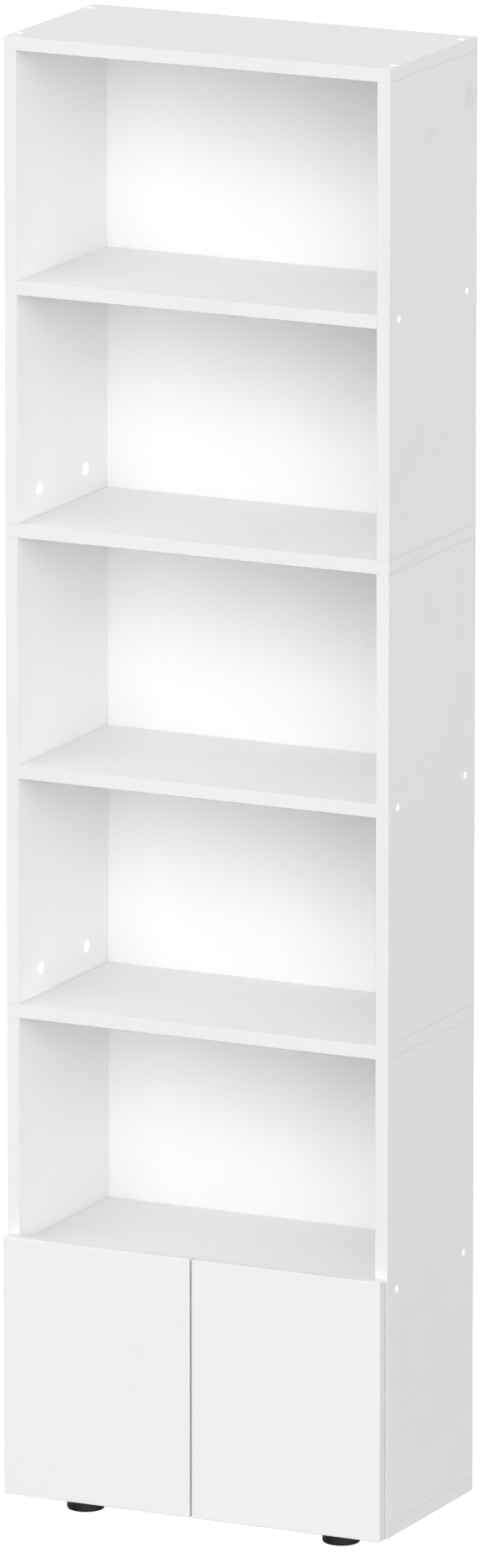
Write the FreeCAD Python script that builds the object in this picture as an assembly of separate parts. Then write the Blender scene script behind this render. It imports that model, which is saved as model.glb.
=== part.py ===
import FreeCAD, Part
import os

# Tall white bookcase: five open bays over a two-door cabinet, on four round feet.
# Millimetres. X to the right, Y to the back, Z up. The origin is on the floor, under the middle of the whole.

vec = FreeCAD.Vector
up, down = vec(0, 0, 1), vec(0, 0, -1)
to_back, to_front = vec(0, 1, 0), vec(0, -1, 0)
to_right, to_left = vec(1, 0, 0), vec(-1, 0, 0)
sides = {"left": -1, "right": 1}

# Carcass boards
carcass_width = 550.0
board_depth = 263.0
board = 18.0
bay_pitch = 320.0
bay_count = 6
edge_ease = 0.5

# Back sheets
back_thickness = 3.0
back_inset = 1.0
back_seam = 1.0

# Doors
door_thickness = 16.0
door_gap = 2.0
door_reveal = 2.25
meeting_gap = 3.0
door_lift = 10.0
door_round = 1.0
bumper_radius = 4.0
bumper_height = 1.7
bumper_ease = 0.6
bumper_inset = 28.0

# Feet
foot_height = 26.0
foot_radius = 25.0
foot_top_radius = 22.0
foot_rim_height = 9.0
foot_round = 3.0
foot_side_inset = 89.0
foot_edge_inset = 50.0
foot_recess_radius = 6.0
foot_recess_depth = 14.0
foot_screw_radius = 2.2
foot_screw_head_radius = 4.4
foot_screw_head_height = 2.6
foot_screw_grip = 14.0

# Clearances
fit_gap = 0.1
running_gap = 0.05
tip_room = 0.5
overrun = 2.0

# Confirmat screws and their covers
screw_inset = 29.0
screw_length = 50.0
screw_head_radius = 4.8
screw_head_height = 2.5
screw_shank_radius = 3.3
screw_core_radius = 2.5
screw_socket_radius = 2.1
screw_socket_depth = 3.0
cap_radius = 5.25
cap_proud = 0.8
cap_ease = 0.3
cap_stem_length = 2.5

# Wooden dowels
dowel_radius = 4.0
dowel_length = 30.0
dowel_in_face = 12.0
dowel_ease = 1.0
dowel_offset = 32.0

# Cam locks, their bolts and covers
cam_inset = 64.0
cam_height = 35.0
cam_radius = 7.5
cam_depth = 12.0
cam_stub_radius = 2.0
cam_stub_length = 3.0
cam_cover_radius = 8.4
cam_cover_proud = 1.0
cam_cover_ease = 0.4
bolt_thread_radius = 2.5
bolt_thread_length = 11.0
bolt_collar_radius = 3.6
bolt_collar_height = 1.5
bolt_shaft_radius = 3.0
bolt_neck_radius = 1.75
bolt_neck_length = 6.0
bolt_head_radius = 3.3
bolt_head_height = 3.0
bolt_bore_radius = 4.0

# Nails of the back
nail_radius = 0.8
nail_length = 20.0
nail_head_radius = 1.5
nail_head_height = 0.6
nails_per_side = 4
nails_per_board = 3
seam_nail_shares = (0.25, 0.75)
edge_nail_shares = (0.5,)

# Concealed hinges: the cup in the door
hinge_inset = 80.0
cup_setback = 21.6
cup_radius = 17.5
cup_wall = 0.6
cup_depth = 12.6
rim_ease = 0.45
wing_thickness = 1.2
wing_height = 64.0
wing_width = 15.0
wing_start = 2.0
wing_round = 6.0
cup_screw_spacing = 48.0
cup_screw_radius = 1.75
cup_screw_length = 11.0
cup_screw_head_radius = 3.2
cup_screw_head_height = 0.9

# Pivots of the hinge: reach is inwards from the cup's centre, depth is from the door's back
outer_arm_reach, outer_arm_depth = 6.45, 9.0
outer_cup_reach, outer_cup_depth = -12.1, 6.3
inner_arm_reach, inner_arm_depth = 13.35, 9.0
inner_cup_reach, inner_cup_depth = -7.95, 2.0
pin_radius = 1.1
outer_link_radius = 2.0
inner_link_radius = 2.35
link_thickness = 4.4
link_gap = 0.3
slot_inward = 2.85
slot_outward = 0.8
slot_play = 0.55

# Hinge arm and its mounting plate
arm_wall = 1.3
arm_rise = 12.4
arm_boss_radius = 2.0
arm_root_reach = 2.15
arm_root_setback = 16.0
arm_web_setback = 13.0
arm_length = 62.0
arm_lift = 3.2
plate_setback = 37.0
plate_thickness = 2.5
plate_wing_height = 46.0
plate_wing_width = 15.0
plate_wing_round = 5.0
plate_screw_spacing = 32.0
plate_screw_radius = 1.9
plate_screw_length = 15.0
plate_screw_head_radius = 3.6
plate_screw_head_height = 1.6
bridge_front_setback = 20.0
bridge_length = 36.0
arm_screw_setback = 50.0
arm_screw_radius = 2.0
arm_screw_length = 9.0
arm_screw_head_radius = 3.4
arm_screw_head_height = 1.8

# Places worked out from those sizes
half_width = carcass_width / 2
inner_x = half_width - board
side_x = half_width - board / 2
whole_depth = door_thickness + door_gap + board_depth + back_thickness
door_front_y = -whole_depth / 2
door_back_y = door_front_y + door_thickness
front_y = door_back_y + door_gap
rear_y = front_y + board_depth
back_y = rear_y + back_thickness
middle_y = (front_y + rear_y) / 2
levels = [foot_height + bay_pitch * i for i in range(bay_count + 1)]
base_z = levels[0]
door_top_z = levels[1] + board + door_lift
level_names = {0: "bottom_panel", 1: "cabinet_shelf", 2: "lower_divider", 3: "middle_shelf",
               4: "upper_divider", 5: "upper_shelf", 6: "top_panel"}
full_levels = [i for i in level_names if i % 2 == 0]
shelf_levels = [i for i in level_names if i % 2 == 1]
section_names = ("lower", "middle", "upper")
screw_rows = (front_y + screw_inset, rear_y - screw_inset)
cam_rows = (front_y + cam_inset, rear_y - cam_inset)
bores = []


def block(x0, x1, y0, y1, z0, z1):
    return Part.makeBox(x1 - x0, y1 - y0, z1 - z0, vec(x0, y0, z0))


def eased(solid, size):
    return solid.makeChamfer(size, solid.Edges)


def turned(outline, seat, direction):
    points = [vec(radius, 0, along) for radius, along in outline]
    solid = Part.Face(Part.makePolygon(points + points[:1])).revolve(vec(0, 0, 0), up, 360)
    solid.Placement = FreeCAD.Placement(seat, FreeCAD.Rotation(up, direction))
    return solid


def rod(radius, start, direction, length):
    return Part.makeCylinder(radius, length, start, direction)


def strap(p, q, radius, low, high):
    along = (q - p).normalize() * radius
    across = vec(-along.y, along.x, 0)
    edges = [Part.LineSegment(p + across, q + across), Part.Arc(q + across, q + along, q - across),
             Part.LineSegment(q - across, p - across), Part.Arc(p - across, p - along, p + across)]
    face = Part.Face(Part.Wire([e.toShape() for e in edges]))
    return face.extrude(up * (high - low)).translated(up * low)


def fitted(outline, bore, seat, direction):
    bores.append(turned(bore, seat, direction))
    return turned(outline, seat, direction)


def drilled(solid):
    for bore in bores:
        if bore.BoundBox.intersect(solid.BoundBox):
            solid = solid.cut(bore)
    return solid


def save(name, *solids):
    shape = solids[0] if len(solids) == 1 else Part.makeCompound(solids)
    shape.exportStep("parts/" + name + ".step")


# Outlines of the turned pieces, as radius and distance along the axis

screw_cone = screw_head_height + screw_head_radius - screw_shank_radius
screw_outline = [(0, screw_socket_depth), (screw_socket_radius, screw_socket_depth), (screw_socket_radius, 0),
                 (screw_head_radius, 0), (screw_head_radius, screw_head_height),
                 (screw_shank_radius, screw_cone), (screw_shank_radius, board), (screw_core_radius, board),
                 (screw_core_radius, screw_length - screw_core_radius), (0, screw_length)]
screw_bore = [(0, -overrun), (screw_head_radius + fit_gap, -overrun),
              (screw_head_radius + fit_gap, screw_head_height), (screw_shank_radius + fit_gap, screw_cone),
              (screw_shank_radius + fit_gap, board), (screw_core_radius + fit_gap, board),
              (screw_core_radius + fit_gap, screw_length + tip_room), (0, screw_length + tip_room)]
cap_stem_radius = screw_socket_radius - fit_gap
cap_outline = [(0, -cap_stem_length), (cap_stem_radius, -cap_stem_length), (cap_stem_radius, 0),
               (cap_radius, 0), (cap_radius, cap_proud - cap_ease), (cap_radius - cap_ease, cap_proud),
               (0, cap_proud)]
dowel_outline = [(0, 0), (dowel_radius - dowel_ease, 0), (dowel_radius, dowel_ease),
                 (dowel_radius, dowel_length - dowel_ease), (dowel_radius - dowel_ease, dowel_length),
                 (0, dowel_length)]
dowel_bore = [(0, -tip_room), (dowel_radius + fit_gap, -tip_room),
              (dowel_radius + fit_gap, dowel_length + tip_room), (0, dowel_length + tip_room)]
cam_outline = [(0, cam_stub_length + fit_gap), (cam_stub_radius + fit_gap, cam_stub_length + fit_gap),
               (cam_stub_radius + fit_gap, 0), (cam_radius, 0), (cam_radius, cam_depth), (0, cam_depth)]
cam_bore = [(0, -overrun), (cam_radius + fit_gap, -overrun), (cam_radius + fit_gap, cam_depth + tip_room),
            (0, cam_depth + tip_room)]
cover_outline = [(0, -cam_stub_length), (cam_stub_radius, -cam_stub_length), (cam_stub_radius, 0),
                 (cam_cover_radius, 0), (cam_cover_radius, cam_cover_proud - cam_cover_ease),
                 (cam_cover_radius - cam_cover_ease, cam_cover_proud), (0, cam_cover_proud)]
bolt_top = bolt_thread_length + cam_height + bolt_head_height / 2
bolt_head_start = bolt_top - bolt_head_height
bolt_neck_start = bolt_head_start - bolt_neck_length
bolt_collar_top = bolt_thread_length + bolt_collar_height
bolt_outline = [(0, 0), (bolt_thread_radius, 0), (bolt_thread_radius, bolt_thread_length),
                (bolt_collar_radius, bolt_thread_length), (bolt_collar_radius, bolt_collar_top),
                (bolt_shaft_radius, bolt_collar_top), (bolt_shaft_radius, bolt_neck_start),
                (bolt_neck_radius, bolt_neck_start), (bolt_neck_radius, bolt_head_start),
                (bolt_head_radius, bolt_head_start), (bolt_head_radius, bolt_top), (0, bolt_top)]
bolt_bore = [(0, -tip_room), (bolt_thread_radius + fit_gap, -tip_room),
             (bolt_thread_radius + fit_gap, bolt_thread_length), (bolt_bore_radius, bolt_thread_length),
             (bolt_bore_radius, bolt_top + tip_room), (0, bolt_top + tip_room)]
nail_outline = [(0, 0), (nail_head_radius, 0), (nail_head_radius, nail_head_height),
                (nail_radius, nail_head_height), (nail_radius, nail_length - nail_radius), (0, nail_length)]
nail_bore = [(0, -overrun), (nail_head_radius + fit_gap, -overrun),
             (nail_head_radius + fit_gap, nail_head_height), (nail_radius + fit_gap, nail_head_height),
             (nail_radius + fit_gap, nail_length + tip_room), (0, nail_length + tip_room)]
bumper_outline = [(0, 0), (bumper_radius, 0), (bumper_radius, bumper_height - bumper_ease),
                  (bumper_radius - bumper_ease, bumper_height), (0, bumper_height)]


def headed(radius, length, head_radius, head_height):
    return [(0, -head_height), (head_radius, -head_height), (head_radius, 0), (radius, 0),
            (radius, length - radius), (0, length)]


def pilot(radius, length):
    return [(0, -overrun), (radius + fit_gap, -overrun), (radius + fit_gap, length + tip_room),
            (0, length + tip_room)]


# Fasteners of the carcass, each with the hole that it needs

def shelf_fasteners():
    screws, caps = [], []
    for i in shelf_levels:
        for side in sides.values():
            for y in screw_rows:
                seat = vec(side * half_width, y, levels[i] + board / 2)
                screws.append(fitted(screw_outline, screw_bore, seat, vec(-side, 0, 0)))
                caps.append(turned(cap_outline, seat, vec(side, 0, 0)))
    return screws, caps


def top_fasteners():
    screws, caps = [], []
    for side in sides.values():
        for y in screw_rows:
            seat = vec(side * side_x, y, levels[-1] + board)
            screws.append(fitted(screw_outline, screw_bore, seat, down))
            caps.append(turned(cap_outline, seat, up))
    return screws, caps


def side_fasteners():
    screws = []
    for side in sides.values():
        for y in screw_rows:
            screws.append(fitted(screw_outline, screw_bore, vec(side * side_x, y, base_z), up))
            for i in full_levels[1:-1]:
                seat = vec(side * side_x, y, levels[i] + board)
                screws.append(fitted(screw_outline, screw_bore, seat, down))
    return screws


def all_dowels():
    dowels = []
    for side in sides.values():
        for low, high in zip(full_levels, full_levels[1:]):
            foot = vec(side * side_x, middle_y - dowel_offset, levels[low] + board - dowel_in_face)
            head = vec(side * side_x, middle_y + dowel_offset, levels[high] + dowel_in_face)
            dowels.append(fitted(dowel_outline, dowel_bore, foot, up))
            dowels.append(fitted(dowel_outline, dowel_bore, head, down))
        for i in shelf_levels:
            seat = vec(side * (inner_x + dowel_in_face), middle_y, levels[i] + board / 2)
            dowels.append(fitted(dowel_outline, dowel_bore, seat, vec(-side, 0, 0)))
    return dowels


def cam_fasteners():
    bolts, locks, covers = [], [], []
    for side in sides.values():
        for i in full_levels[1:-1]:
            for y in cam_rows:
                face_z = levels[i] + board
                seat = vec(side * side_x, y, face_z - bolt_thread_length)
                mouth = vec(side * inner_x, y, face_z + cam_height)
                bolts.append(fitted(bolt_outline, bolt_bore, seat, up))
                passage = bores[-1]
                locks.append(fitted(cam_outline, cam_bore, mouth, vec(side, 0, 0)).cut(passage))
                covers.append(turned(cover_outline, mouth, vec(-side, 0, 0)))
    return bolts, locks, covers


def back_fasteners():
    seats = []
    for low, high in zip(full_levels, full_levels[1:]):
        z0, z1 = levels[low] + board, levels[high]
        for n in range(nails_per_side):
            z = z0 + (z1 - z0) * (n + 0.5) / nails_per_side
            seats += [vec(side * side_x, back_y, z) for side in sides.values()]
    for i in level_names:
        shares = seam_nail_shares if i in full_levels[1:-1] else edge_nail_shares
        for n in range(nails_per_board):
            x = 2 * inner_x * ((n + 0.5) / nails_per_board - 0.5)
            seats += [vec(x, back_y, levels[i] + board * share) for share in shares]
    return [fitted(nail_outline, nail_bore, seat, to_front) for seat in seats]


# Feet

foot_screw_length = foot_height - foot_recess_depth + foot_screw_grip
foot_hole_radius = foot_screw_radius + fit_gap
foot_outline = [(foot_hole_radius, foot_recess_depth), (foot_recess_radius, foot_recess_depth),
                (foot_recess_radius, 0), (foot_radius, 0), (foot_radius, foot_rim_height),
                (foot_top_radius, foot_height), (foot_hole_radius, foot_height)]


def foot(x, y):
    solid = turned(foot_outline, vec(x, y, 0), up)
    rim = [e for e in solid.Edges if e.BoundBox.ZMax < foot_round and e.BoundBox.XLength > foot_radius]
    return solid.makeFillet(foot_round, rim)


def foot_screw(x, y):
    seat = vec(x, y, foot_recess_depth)
    outline = headed(foot_screw_radius, foot_screw_length, foot_screw_head_radius, foot_screw_head_height)
    return fitted(outline, pilot(foot_screw_radius, foot_screw_length), seat, up)


# Concealed hinges, drawn for the left door about the height of their middle

door_edge_x = -(half_width - door_reveal)
cup_x = door_edge_x + cup_setback
cheek_inner = link_gap / 2 + link_thickness + link_gap
arm_half = cheek_inner + arm_wall
arm_top_x = -inner_x + arm_rise


def pivot(reach, depth):
    return vec(cup_x + reach, door_back_y - depth, 0)


outer_arm_pivot = pivot(outer_arm_reach, outer_arm_depth)
outer_cup_pivot = pivot(outer_cup_reach, outer_cup_depth)
inner_arm_pivot = pivot(inner_arm_reach, inner_arm_depth)
inner_cup_pivot = pivot(inner_cup_reach, inner_cup_depth)


def pin_hole(centre):
    return rod(pin_radius + running_gap, centre - up * cup_radius, up, 2 * cup_radius)


def wall_pin(centre, start):
    chord = (cup_radius ** 2 - (abs(centre.x - cup_x) + pin_radius) ** 2) ** 0.5
    direction = up if start > 0 else down
    return rod(pin_radius, centre + up * start, direction, chord - abs(start))


def hinge_cup():
    mouth = vec(cup_x, door_back_y, 0)
    inside = cup_radius - cup_wall
    solid = rod(cup_radius, mouth, to_front, cup_depth)
    wing_x = cup_x + wing_start
    wing = block(wing_x, wing_x + wing_width, door_back_y, door_back_y + wing_thickness,
                 -wing_height / 2, wing_height / 2)
    corners = [e for e in wing.Edges if e.BoundBox.YLength > wing_thickness / 2]
    solid = solid.fuse(wing.makeFillet(wing_round, corners))
    hollow = [(0, -overrun), (inside + rim_ease, -overrun), (inside + rim_ease, 0), (inside, rim_ease),
              (inside, cup_depth - cup_wall), (0, cup_depth - cup_wall)]
    solid = solid.cut(turned(hollow, mouth, to_front))
    holes = [pin_hole(outer_cup_pivot), pin_hole(inner_cup_pivot)]
    holes += [rod(cup_screw_radius + fit_gap, seat + to_back * overrun, to_front, 2 * overrun)
              for seat in cup_screw_seats()]
    return solid.cut(holes).removeSplitter()


def cup_screw_seats():
    x = cup_x + wing_start + wing_width / 2
    return [vec(x, door_back_y + wing_thickness, s * cup_screw_spacing / 2) for s in (-1, 1)]


def cup_screws():
    outline = headed(cup_screw_radius, cup_screw_length, cup_screw_head_radius, cup_screw_head_height)
    return [turned(outline, seat, to_front) for seat in cup_screw_seats()]


def cup_hollow():
    mouth = vec(cup_x, door_back_y + overrun, 0)
    tools = [rod(cup_radius + fit_gap, mouth, to_front, cup_depth + fit_gap + overrun)]
    hole = pilot(cup_screw_radius, cup_screw_length)
    return tools + [turned(hole, seat, to_front) for seat in cup_screw_seats()]


def outer_link():
    low, high = link_gap / 2, link_gap / 2 + link_thickness
    bar = strap(outer_arm_pivot, outer_cup_pivot, outer_link_radius, low, high)
    return bar.cut([pin_hole(outer_arm_pivot), pin_hole(outer_cup_pivot)])


def inner_link():
    along = (inner_cup_pivot - inner_arm_pivot).normalize()
    far, near = inner_cup_pivot + along * slot_outward, inner_cup_pivot - along * slot_inward
    low, high = -link_gap / 2 - link_thickness, -link_gap / 2
    bar = strap(inner_arm_pivot, far, inner_link_radius, low, high)
    slot = strap(near, far, pin_radius + slot_play, low - overrun, high + overrun)
    return bar.cut([pin_hole(inner_arm_pivot), slot])


def arm_pins():
    length = arm_half - link_gap / 2
    return [rod(pin_radius, outer_arm_pivot + up * link_gap / 2, up, length),
            rod(pin_radius, inner_arm_pivot - up * link_gap / 2, down, length)]


def cup_pins():
    return [wall_pin(outer_cup_pivot, link_gap / 2), wall_pin(inner_cup_pivot, -link_gap / 2)]


def hinge_arm():
    root = vec(-inner_x + arm_root_reach + arm_boss_radius + arm_lift, front_y + arm_root_setback, 0)
    corners = (outer_arm_pivot, inner_arm_pivot, root)
    triangle = Part.Face(Part.makePolygon(corners + corners[:1]))
    nose = triangle.extrude(up * arm_wall).translated(up * cheek_inner)
    for p, q in zip(corners, corners[1:] + corners[:1]):
        nose = nose.fuse(strap(p, q, arm_boss_radius, cheek_inner, arm_half))
    web_y, end_y = front_y + arm_web_setback, front_y + arm_length
    body = block(-inner_x + arm_lift, arm_top_x, web_y, end_y, cheek_inner, arm_half)
    cheek = nose.fuse(body)
    web = block(arm_top_x - arm_wall, arm_top_x, web_y, end_y, -arm_half, arm_half)
    arm = web.fuse([cheek, cheek.mirror(vec(0, 0, 0), up)])
    screw_hole = rod(arm_screw_radius + fit_gap, arm_screw_seat() + to_right * overrun, to_left, 2 * overrun)
    return arm.cut([pin_hole(outer_arm_pivot), pin_hole(inner_arm_pivot), screw_hole]).removeSplitter()


def arm_screw_seat():
    return vec(arm_top_x, front_y + arm_screw_setback, 0)


def arm_screw():
    outline = headed(arm_screw_radius, arm_screw_length, arm_screw_head_radius, arm_screw_head_height)
    return turned(outline, arm_screw_seat(), to_left)


def plate_screw_seats():
    x, y = -inner_x + plate_thickness, front_y + plate_setback
    return [vec(x, y, s * plate_screw_spacing / 2) for s in (-1, 1)]


def plate_screw_holes():
    hole = pilot(plate_screw_radius, plate_screw_length)
    return [turned(hole, seat, to_left) for seat in plate_screw_seats()]


def plate_screws():
    outline = headed(plate_screw_radius, plate_screw_length, plate_screw_head_radius, plate_screw_head_height)
    return [turned(outline, seat, to_left) for seat in plate_screw_seats()]


def hinge_plate():
    y = front_y + plate_setback
    wing = block(-inner_x, -inner_x + plate_thickness, y - plate_wing_width / 2, y + plate_wing_width / 2,
                 -plate_wing_height / 2, plate_wing_height / 2)
    corners = [e for e in wing.Edges if e.BoundBox.XLength > plate_thickness / 2]
    wing = wing.makeFillet(plate_wing_round, corners)
    bridge_y = front_y + bridge_front_setback
    bridge_half = cheek_inner - link_gap
    bridge_end_y = bridge_y + bridge_length
    bridge = block(-inner_x, arm_top_x - arm_wall, bridge_y, bridge_end_y, -bridge_half, bridge_half)
    holes = plate_screw_holes()
    holes.append(turned(pilot(arm_screw_radius, arm_screw_length), arm_screw_seat(), to_left))
    return wing.fuse(bridge).cut(holes).removeSplitter()


def placed(solid, side, z):
    there = solid if side < 0 else solid.mirror(vec(0, 0, 0), to_right)
    return there.translated(up * z)


hinge_heights = {"lower": base_z + hinge_inset, "upper": door_top_z - hinge_inset}


# Doors

def door(side):
    near, far = meeting_gap / 2, half_width - door_reveal
    x0, x1 = sorted((side * near, side * far))
    panel = block(x0, x1, door_front_y, door_back_y, base_z, door_top_z)
    panel = panel.makeFillet(door_round, panel.Edges)
    return panel.cut([placed(tool, side, z) for z in hinge_heights.values() for tool in cup_hollow()])


def bumpers(side):
    x = side * (meeting_gap / 2 + bumper_inset)
    heights = (base_z + board / 2, levels[1] + board / 2)
    return [turned(bumper_outline, vec(x, door_back_y, z), to_back) for z in heights]


# The pieces, written one file each

os.makedirs("parts", exist_ok=True)

shelf_screws, shelf_caps = shelf_fasteners()
top_screws, top_caps = top_fasteners()
save("shelf_screws", *shelf_screws)
save("top_screws", *top_screws)
save("screw_caps", *shelf_caps, *top_caps)
save("side_screws", *side_fasteners())
save("dowels", *all_dowels())
cam_bolts, cam_locks, cam_covers = cam_fasteners()
save("cam_bolts", *cam_bolts)
save("cam_locks", *cam_locks)
save("cam_covers", *cam_covers)
save("back_nails", *back_fasteners())

foot_x = half_width - foot_side_inset
foot_rows = {"front": front_y + foot_edge_inset, "rear": rear_y - foot_edge_inset}
foot_places = {row + "_" + name + "_foot": (side * foot_x, y)
               for row, y in foot_rows.items() for name, side in sides.items()}
for name, place in foot_places.items():
    save(name, foot(*place))
save("foot_screws", *[foot_screw(*place) for place in foot_places.values()])

plate_screw_group, arm_screw_group, arm_pin_group = [], [], []
for name, side in sides.items():
    pins, screws, outer_links, inner_links = [], [], [], []
    for height, z in hinge_heights.items():
        hinge_name = name + "_" + height + "_hinge_"
        save(hinge_name + "cup", placed(hinge_cup(), side, z))
        save(hinge_name + "arm", placed(hinge_arm(), side, z))
        save(hinge_name + "plate", placed(hinge_plate(), side, z))
        outer_links.append(placed(outer_link(), side, z))
        inner_links.append(placed(inner_link(), side, z))
        pins += [placed(p, side, z) for p in cup_pins()]
        screws += [placed(s, side, z) for s in cup_screws()]
        plate_screw_group += [placed(s, side, z) for s in plate_screws()]
        arm_screw_group.append(placed(arm_screw(), side, z))
        arm_pin_group += [placed(p, side, z) for p in arm_pins()]
        bores += [placed(hole, side, z) for hole in plate_screw_holes()]
    save(name + "_outer_links", *outer_links)
    save(name + "_inner_links", *inner_links)
    save(name + "_cup_pins", *pins)
    save(name + "_cup_screws", *screws)
    save(name + "_door", door(side))
    save(name + "_door_bumpers", *bumpers(side))
save("hinge_plate_screws", *plate_screw_group)
save("hinge_arm_screws", *arm_screw_group)
save("hinge_arm_pins", *arm_pin_group)

for i, name in level_names.items():
    reach = half_width if i in full_levels else inner_x
    panel = block(-reach, reach, front_y, rear_y, levels[i], levels[i] + board)
    save(name, drilled(eased(panel, edge_ease)))

for section, low, high in zip(section_names, full_levels, full_levels[1:]):
    for name, side in sides.items():
        x0, x1 = sorted((side * inner_x, side * half_width))
        panel = block(x0, x1, front_y, rear_y, levels[low] + board, levels[high])
        save(name + "_" + section + "_side", drilled(eased(panel, edge_ease)))
    bottom = base_z + back_inset if low == 0 else levels[low] + board / 2 + back_seam / 2
    top = levels[high] + board - back_inset if high == bay_count else levels[high] + board / 2 - back_seam / 2
    sheet = block(-half_width + back_inset, half_width - back_inset, rear_y, back_y, bottom, top)
    save(section + "_back", drilled(sheet))
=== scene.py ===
import bmesh
import bpy
import math
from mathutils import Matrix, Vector


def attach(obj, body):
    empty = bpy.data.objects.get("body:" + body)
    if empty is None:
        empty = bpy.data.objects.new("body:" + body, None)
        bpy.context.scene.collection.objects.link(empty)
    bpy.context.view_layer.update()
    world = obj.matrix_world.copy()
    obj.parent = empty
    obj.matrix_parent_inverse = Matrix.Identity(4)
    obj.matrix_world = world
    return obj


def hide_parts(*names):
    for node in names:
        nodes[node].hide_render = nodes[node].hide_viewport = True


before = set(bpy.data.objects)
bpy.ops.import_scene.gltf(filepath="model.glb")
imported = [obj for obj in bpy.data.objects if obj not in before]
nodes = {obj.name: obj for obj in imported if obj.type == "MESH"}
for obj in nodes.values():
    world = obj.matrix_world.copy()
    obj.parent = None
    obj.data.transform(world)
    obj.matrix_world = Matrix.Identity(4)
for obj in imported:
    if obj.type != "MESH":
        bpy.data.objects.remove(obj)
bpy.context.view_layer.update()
mm = 0.001


# camera, studio and floor

def newFinish(name):
    finish = bpy.data.materials.new(name)
    finish.use_nodes = True
    tree = finish.node_tree
    return finish, tree, tree.nodes["Principled BSDF"]


def addNode(tree, kind, links=None, **settings):
    node = tree.nodes.new(kind)
    for key, value in settings.items():
        setattr(node, key, value)
    for socket, value in (links or {}).items():
        if isinstance(value, bpy.types.NodeSocket):
            tree.links.new(value, node.inputs[socket])
        else:
            node.inputs[socket].default_value = value
    return node


camera = {
    "place": (8.4402, -17.4581, 5.4646),  # metres, from the photo's perspective
    "turn": 25.793,                       # degrees to the bookcase's right
    "tilt": 13.024,                       # degrees below the horizon
    "lens": 351.82,
    "sight": 200,
}


def setCamera():
    data = bpy.data.cameras.new("camera")
    data.lens = camera["lens"]
    data.clip_end = camera["sight"]
    view = bpy.data.objects.new("camera", data)
    view.location = camera["place"]
    view.rotation_euler = (math.radians(90 - camera["tilt"]), 0, math.radians(camera["turn"]))
    bpy.context.scene.collection.objects.link(view)
    bpy.context.scene.camera = view


studio = {
    "ambient": (0.20, 0.49),    # light from below and from above the horizon
    "horizon": 0.2,             # how far the one blends into the other
    "wall": 1.0,                # what the camera sees behind the floor
    "floorSize": 60,
    "floorTint": 0.5,
    "floorRoughness": 0.9,
    "floorGlow": 0.95,
    "upperTint": (0.10, 0.65, 1.0),     # the cool light from overhead
    "lamps": {
        # name: degrees to the right of the front, degrees up, strength, spread in degrees
        "frontPanel": (13, 12, 1.70, 60),
        "sidePanel": (60, 5, 1.18, 50),
        "farSidePanel": (90, 5, 0.38, 50),
        "leftPanel": (-40, 40, 0.92, 50),
        "upperPanel": (0, 88, 0.10, 50),
        "rearPanel": (180, 4, 1.40, 16),
        "rearLeftPanel": (-105, 4, 1.00, 16),
    },
}


def setStudio():
    scene = bpy.context.scene
    scene.view_settings.view_transform = "Standard"
    room = bpy.data.worlds.new("studioRoom")
    room.use_nodes = True
    tree = room.node_tree
    look = addNode(tree, "ShaderNodeTexCoord").outputs["Generated"]
    upward = addNode(tree, "ShaderNodeSeparateXYZ", {"Vector": look}).outputs["Z"]
    low, high = studio["ambient"]
    blend = studio["horizon"]
    links = {"Value": upward, "From Min": -blend, "From Max": blend, "To Min": low, "To Max": high}
    ambient = addNode(tree, "ShaderNodeMapRange", links).outputs["Result"]
    seen = addNode(tree, "ShaderNodeLightPath").outputs["Is Camera Ray"]
    links = {"Factor": seen, "A": ambient, "B": studio["wall"]}
    level = addNode(tree, "ShaderNodeMix", links).outputs["Result"]
    background = tree.nodes["Background"]
    background.inputs["Color"].default_value = (1, 1, 1, 1)
    tree.links.new(level, background.inputs["Strength"])
    scene.world = room
    for name, (turn, rise, strength, spread) in studio["lamps"].items():
        data = bpy.data.lights.new(name, "SUN")
        data.energy, data.angle = strength, math.radians(spread)
        lamp = bpy.data.objects.new(name, data)
        lamp.rotation_euler = (math.radians(90 - rise), 0, math.radians(turn))
        scene.collection.objects.link(lamp)
    bpy.data.lights["upperPanel"].color = studio["upperTint"]
    bpy.ops.object.select_all(action="DESELECT")
    bpy.ops.mesh.primitive_plane_add(size=studio["floorSize"], location=(0, 0, 0))
    floor = bpy.context.object
    floor.name = "floor"
    paper, tree, shader = newFinish("studioPaper")
    shader.inputs["Base Color"].default_value = (*[studio["floorTint"]] * 3, 1)
    shader.inputs["Roughness"].default_value = studio["floorRoughness"]
    shader.inputs["Emission Color"].default_value = (1, 1, 1, 1)
    shader.inputs["Emission Strength"].default_value = studio["floorGlow"]
    floor.data.materials.append(paper)
    floor.visible_diffuse = floor.visible_glossy = False    # the white paper itself lights nothing


setCamera()
setStudio()
print("camera and studio set")


# finishes

noiseRange = (0.3, 0.7)     # where most of a noise's values lie
squarely = (0.8, 0.9)       # how straight a face has to look along an axis


def objectPlace(tree, stretch=None):
    place = addNode(tree, "ShaderNodeTexCoord").outputs["Object"]
    if stretch:
        place = addNode(tree, "ShaderNodeMapping", {"Vector": place, "Scale": stretch}).outputs["Vector"]
    return place


def noiseOver(tree, scale=1.0, detail=2.0, stretch=None):
    links = {"Vector": objectPlace(tree, stretch), "Scale": scale, "Detail": detail}
    return addNode(tree, "ShaderNodeTexNoise", links).outputs["Fac"]


def spreadTo(tree, value, low, high):
    start, end = noiseRange
    links = {"Value": value, "From Min": start, "From Max": end, "To Min": low, "To Max": high}
    return addNode(tree, "ShaderNodeMapRange", links).outputs["Result"]


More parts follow.
